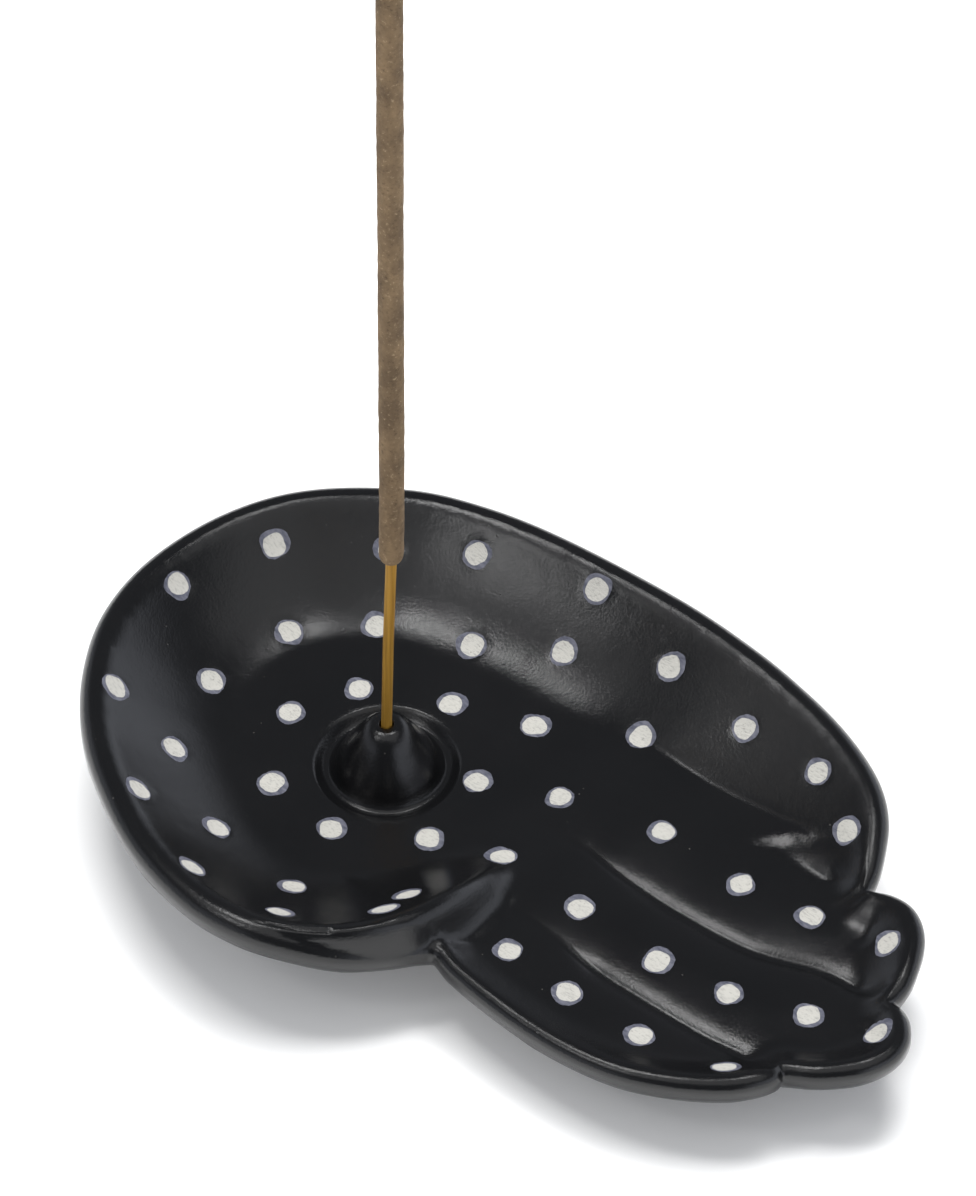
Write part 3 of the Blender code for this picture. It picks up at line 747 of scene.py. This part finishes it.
def scraped_core():
    """Bare pale stone with tool marks across it."""
    s = Surface("scraped_core", ior=1.45)
    marks = s.noise(1500, 4, 0.65, s.stretched((1.0, 3.2, 1.0), (0, 0, 0.7)))
    crumbs = s.noise(3200, 2)
    colour = s.mix(s.between(marks, 0.28, 0.5), (0.27, 0.265, 0.25), (0.45, 0.44, 0.405))
    colour = s.mix(s.between(crumbs, 0.66, 0.74), colour, (0.24, 0.23, 0.21))
    roughness = s.between(marks, 0.3, 0.7, 0.75, 0.95)
    s.drive(base_color=colour, roughness=roughness, normal=s.bump(marks, 0.00006))
    return s.material


def bamboo():
    """Golden split bamboo with long fibres."""
    s = Surface("bamboo", ior=1.45)
    fibres = s.noise(2400, 4, 0.6, s.stretched((1.0, 1.0, 0.02)))
    tone = s.noise(160, 2, where=s.stretched((1.0, 1.0, 0.3)))
    colour = s.mix(s.between(fibres, 0.3, 0.7), (0.275, 0.136, 0.0165), (0.615, 0.34, 0.049))
    colour = s.mix(s.between(tone, 0.35, 0.75, 0.0, 0.5), colour, (0.37, 0.18, 0.024))
    roughness = s.between(fibres, 0.3, 0.7, 0.42, 0.6)
    s.drive(base_color=colour, roughness=roughness, normal=s.bump(fibres, 0.00003))
    return s.material


def masala_paste():
    """Dry rolled paste: matt brown-grey, grainy, with darker mottles and pale crumbs."""
    s = Surface("masala_paste", ior=1.4)
    mottle = s.noise(330, 4, 0.6, s.stretched((1.0, 1.0, 0.55)))
    crumbs = s.noise(2300, 3, 0.6)
    colour = s.mix(s.between(mottle, 0.36, 0.66), (0.138, 0.093, 0.053), (0.250, 0.170, 0.094))
    colour = s.mix(s.between(crumbs, 0.56, 0.72, 0.0, 0.6), colour, (0.072, 0.050, 0.031))
    colour = s.mix(s.between(crumbs, 0.40, 0.28, 0.0, 0.6), colour, (0.44, 0.33, 0.20))
    roughness = s.between(crumbs, 0.2, 0.8, 0.85, 1.0)
    normal = s.bump(mottle, 0.0001, over=s.bump(crumbs, 0.00012))
    s.drive(base_color=colour, roughness=roughness, normal=normal)
    return s.material


def pale_floor():
    """Matt white paper, lifted a little by a glow of its own."""
    white = (1.0, 1.0, 1.0, 1.0)
    s = Surface("pale_floor", ior=1.4, roughness=0.8, emission_color=white, emission_strength=0.12)
    s.drive(base_color=s.mix(s.noise(40, 2), (0.90, 0.90, 0.895), (0.92, 0.92, 0.915)))
    return s.material


# --- Studio ---------------------------------------------------------------------------------------
def in_model_axes(right, away, up):
    """A place or direction in the studio, seen from its front, turned into the model's own axes."""
    c, s = math.cos(math.radians(VIEW_AZIMUTH)), math.sin(math.radians(VIEW_AZIMUTH))
    return Vector((right * c - away * s, right * s + away * c, up))


def make_floor():
    signs = ((-1, -1), (1, -1), (1, 1), (-1, 1))
    corners = [(x * FLOOR_HALF, y * FLOOR_HALF, -FLOOR_DROP) for x, y in signs]
    mesh = bpy.data.meshes.new("floor")
    mesh.from_pydata(corners, [], [(0, 1, 2, 3)])
    mesh.materials.append(pale_floor())
    floor = bpy.data.objects.new("floor", mesh)
    bpy.context.scene.collection.objects.link(floor)


def make_lamp(name, place, size, brightness, in_gloss):
    """A soft box that faces the dish."""
    lamp = bpy.data.lights.new(name, "AREA")
    lamp.shape = "RECTANGLE"
    lamp.size, lamp.size_y = size
    lamp.energy = brightness * math.pi * size[0] * size[1]
    holder = bpy.data.objects.new(name, lamp)
    holder.location = in_model_axes(*place)
    holder.rotation_mode = "QUATERNION"
    holder.rotation_quaternion = (holder.location - Vector(LAMP_AIM)).to_track_quat("Z", "Y")
    holder.visible_glossy = in_gloss
    bpy.context.scene.collection.objects.link(holder)


def easing(tree, value, numbers):
    """A smooth step from one value to another, given as from, to and the result at each."""
    made = tree.nodes.new("ShaderNodeMapRange")
    made.interpolation_type = "SMOOTHSTEP"
    for socket, number in zip(("From Min", "From Max", "To Min", "To Max"), numbers):
        made.inputs[socket].default_value = number
    tree.links.new(value, made.inputs["Value"])
    return made.outputs["Result"]


def combined(tree, operation, a, b):
    made = tree.nodes.new("ShaderNodeMath")
    made.operation = operation
    tree.links.new(a, made.inputs[0])
    tree.links.new(b, made.inputs[1])
    return made.outputs[0]


def make_studio():
    world = bpy.data.worlds.new("studio")
    world.use_nodes = True
    tree = world.node_tree
    toward = tree.nodes.new("ShaderNodeTexCoord").outputs["Generated"]
    across = tree.nodes.new("ShaderNodeVectorMath")
    across.operation = "DOT_PRODUCT"
    across.inputs[1].default_value = in_model_axes(1, 0, 0)
    tree.links.new(toward, across.inputs[0])
    split = tree.nodes.new("ShaderNodeSeparateXYZ")
    tree.links.new(toward, split.inputs[0])
    low = easing(tree, split.outputs["Z"], GLOW_HEIGHT)
    right = easing(tree, across.outputs["Value"], GLOW_RIGHT)
    left = easing(tree, across.outputs["Value"], GLOW_LEFT)
    sides = combined(tree, "ADD", right, left)
    glow = combined(tree, "MULTIPLY_ADD", low, sides)
    glow.node.inputs[2].default_value = ROOM_GLOW
    tree.links.new(glow, tree.nodes["Background"].inputs["Strength"])
    tree.nodes["Background"].inputs["Color"].default_value = ROOM_COLOUR
    bpy.context.scene.world = world
    for lamp in LAMPS:
        make_lamp(*lamp)


def make_camera():
    a, e = math.radians(VIEW_AZIMUTH), math.radians(VIEW_ELEVATION)
    back = Vector((math.sin(a) * math.cos(e), -math.cos(a) * math.cos(e), math.sin(e)))
    lens = bpy.data.cameras.new("camera")
    lens.lens = LENS
    lens.sensor_width = SENSOR
    lens.clip_start = 0.01
    holder = bpy.data.objects.new("camera", lens)
    holder.location = (Vector(LOOK_AT) + back * CAMERA_DISTANCE) * MM
    holder.rotation_mode = "QUATERNION"
    holder.rotation_quaternion = back.to_track_quat("Z", "Y")
    bpy.context.scene.collection.objects.link(holder)
    bpy.context.scene.camera = holder


make_dish(dyed_soapstone(), scraped_rim(), scraped_core())
make_splint(bamboo())
make_paste(masala_paste())
make_floor()
make_studio()
make_camera()
bpy.context.scene.view_settings.view_transform = "Standard"
